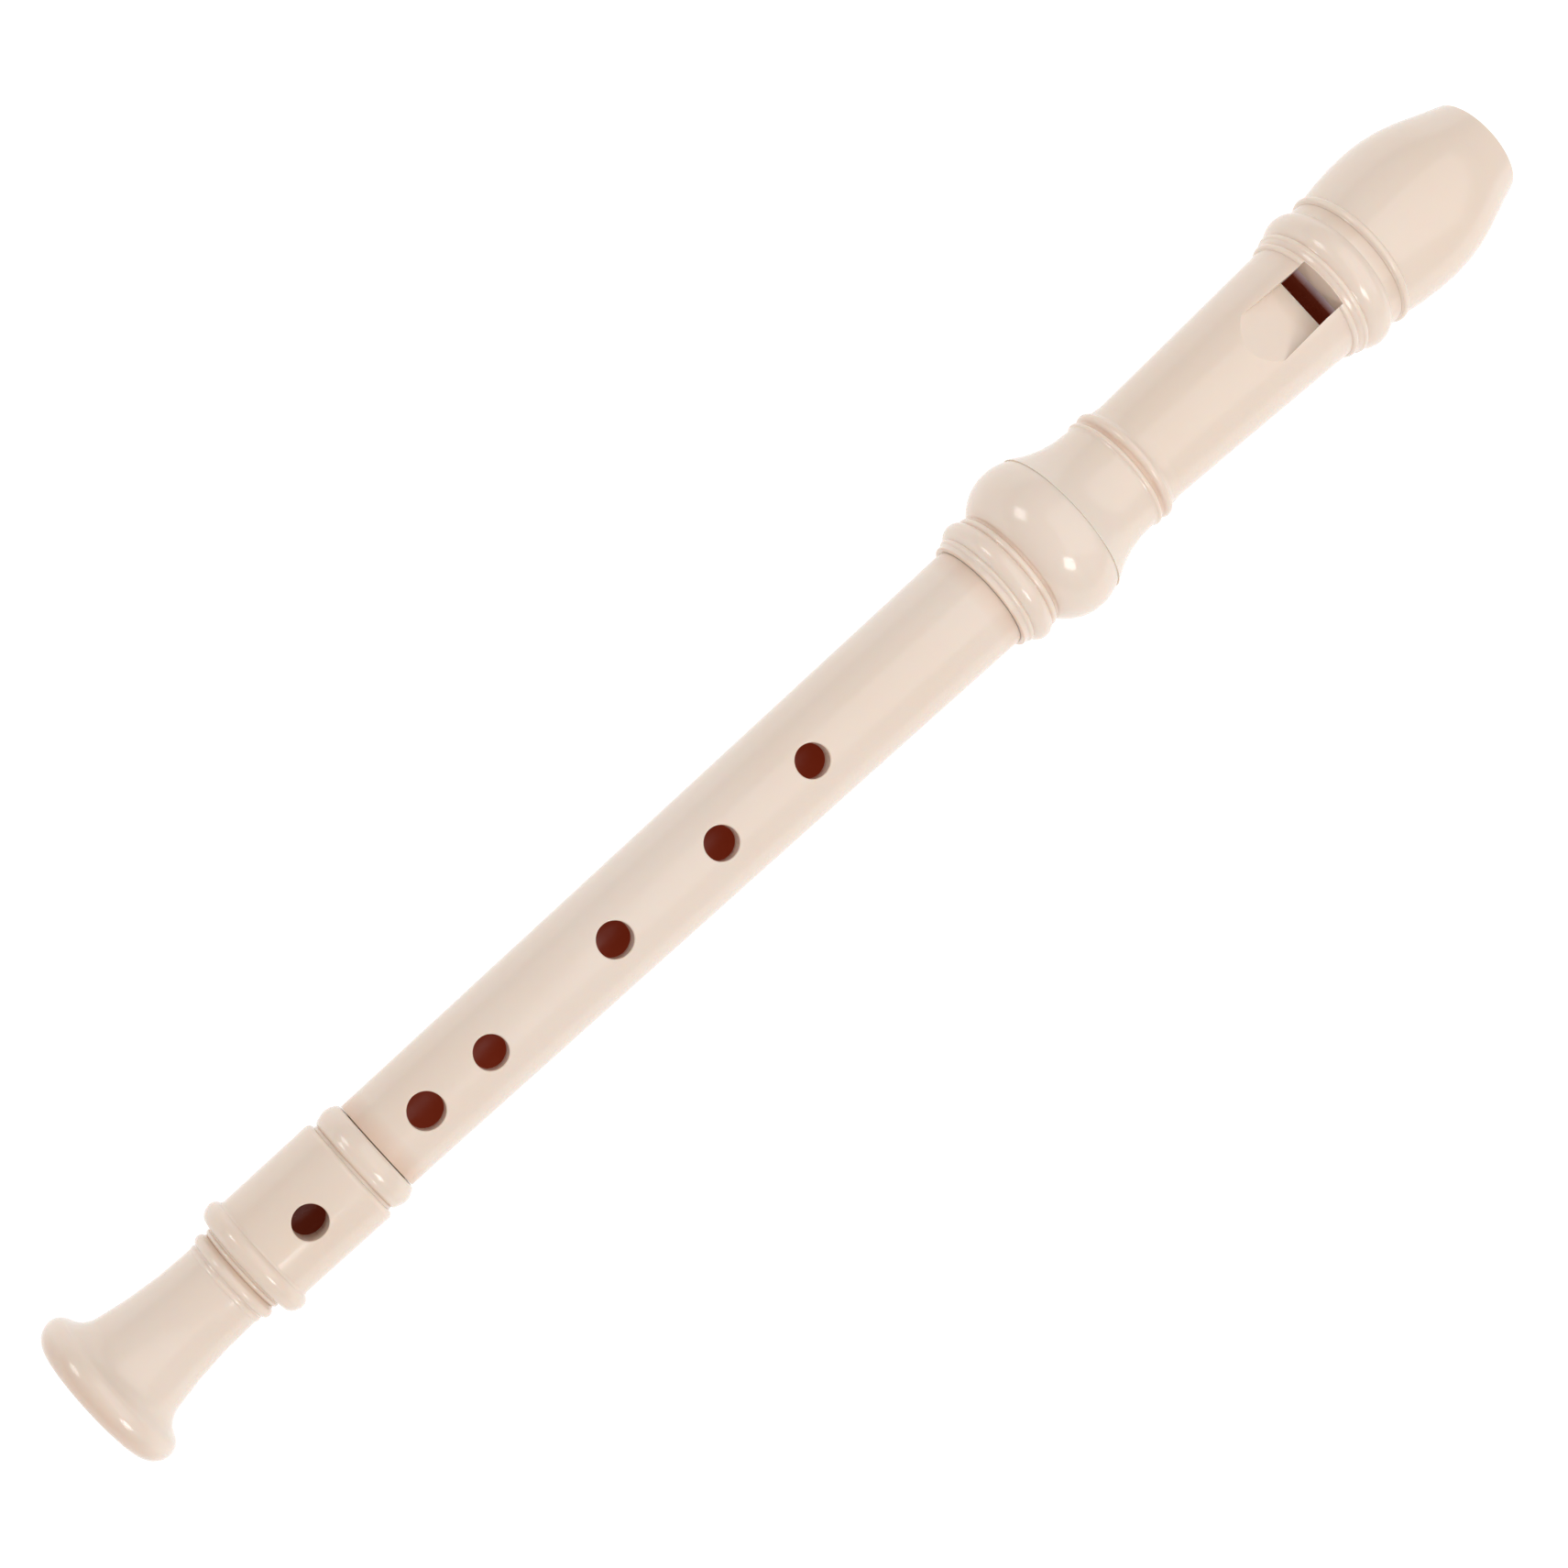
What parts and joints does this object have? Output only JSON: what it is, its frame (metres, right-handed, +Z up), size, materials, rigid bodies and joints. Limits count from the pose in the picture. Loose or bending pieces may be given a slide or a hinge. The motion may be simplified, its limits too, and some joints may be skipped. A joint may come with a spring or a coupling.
{
  "type": "soprano recorder",
  "caption": "Three-joint soprano recorder in ivory plastic: beak with windway and window, ball socket, tapered tube with tone holes and a flared foot.",
  "frame": {"origin": "under the middle of the instrument, on the surface it lies on", "axes": "+X along the bore towards the beak, +Z up through the finger holes"},
  "size_m": [0.3256, 0.0308, 0.0308],
  "materials": {
    "ivory_abs": "satin ivory moulded ABS",
    "seal_ring": "pale silicone"
  },
  "bodies": {
    "middle": {"middle_joint": "ivory_abs"},
    "upper_seal": {"upper_tenon_seal": "seal_ring"},
    "head": {"beak": "ivory_abs", "block": "ivory_abs", "head_tube": "ivory_abs", "socket_sleeve": "ivory_abs"},
    "lower_seal": {"lower_tenon_seal": "seal_ring"},
    "foot": {"foot_ring": "ivory_abs", "foot_barrel": "ivory_abs", "foot_bell": "ivory_abs"}
  },
  "joints": [
    {"name": "head_twist", "type": "hinge", "parent": "middle", "child": "upper_seal", "pos_m": [0.04925, 0, 0.0154], "axis": [1, 0, 0], "continuous": true},
    {"name": "head_pull", "type": "slide", "parent": "upper_seal", "child": "head", "axis": [1, 0, 0], "range_m": [0, 0.0205]},
    {"name": "foot_twist", "type": "hinge", "parent": "middle", "child": "lower_seal", "pos_m": [-0.10675, 0, 0.0154], "axis": [1, 0, 0], "continuous": true},
    {"name": "foot_pull", "type": "slide", "parent": "lower_seal", "child": "foot", "axis": [-1, 0, 0], "range_m": [0, 0.0114]}
  ]
}
